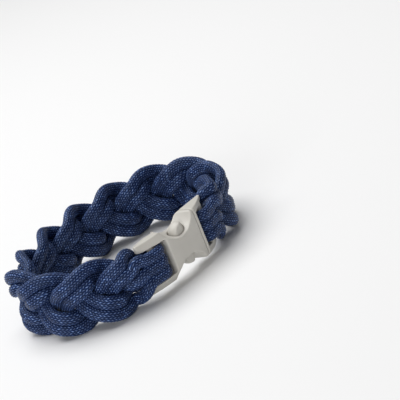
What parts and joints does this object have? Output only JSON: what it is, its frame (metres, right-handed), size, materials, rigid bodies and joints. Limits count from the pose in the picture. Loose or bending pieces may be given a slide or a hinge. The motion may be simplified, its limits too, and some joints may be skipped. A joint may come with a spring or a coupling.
{
  "type": "plaited cord bracelet with a side-release buckle",
  "caption": "Macrame bracelet of doubled navy cord in a flat three-strand plait, closed by a curved pale grey side-release buckle; worn round a wrist.",
  "frame": {"origin": "middle of the bounding box in plan, on the surface that the lower scalloped edge rests on", "axes": "+X along the oval with the buckle's socket at -X and plug at +X, -Y out of the buckle's face, +Z across the band and up"},
  "size_m": [0.0946, 0.067, 0.0239],
  "materials": {
    "cord": "braided nylon sheath, navy blue, slight sheen",
    "buckle": "satin moulded plastic, warm pale grey"
  },
  "bodies": {
    "root": {"buckle_socket": "buckle", "buckle_plug": "buckle", "strand_a": "cord", "strand_b": "cord", "strand_c": "cord"}
  },
  "joints": []
}
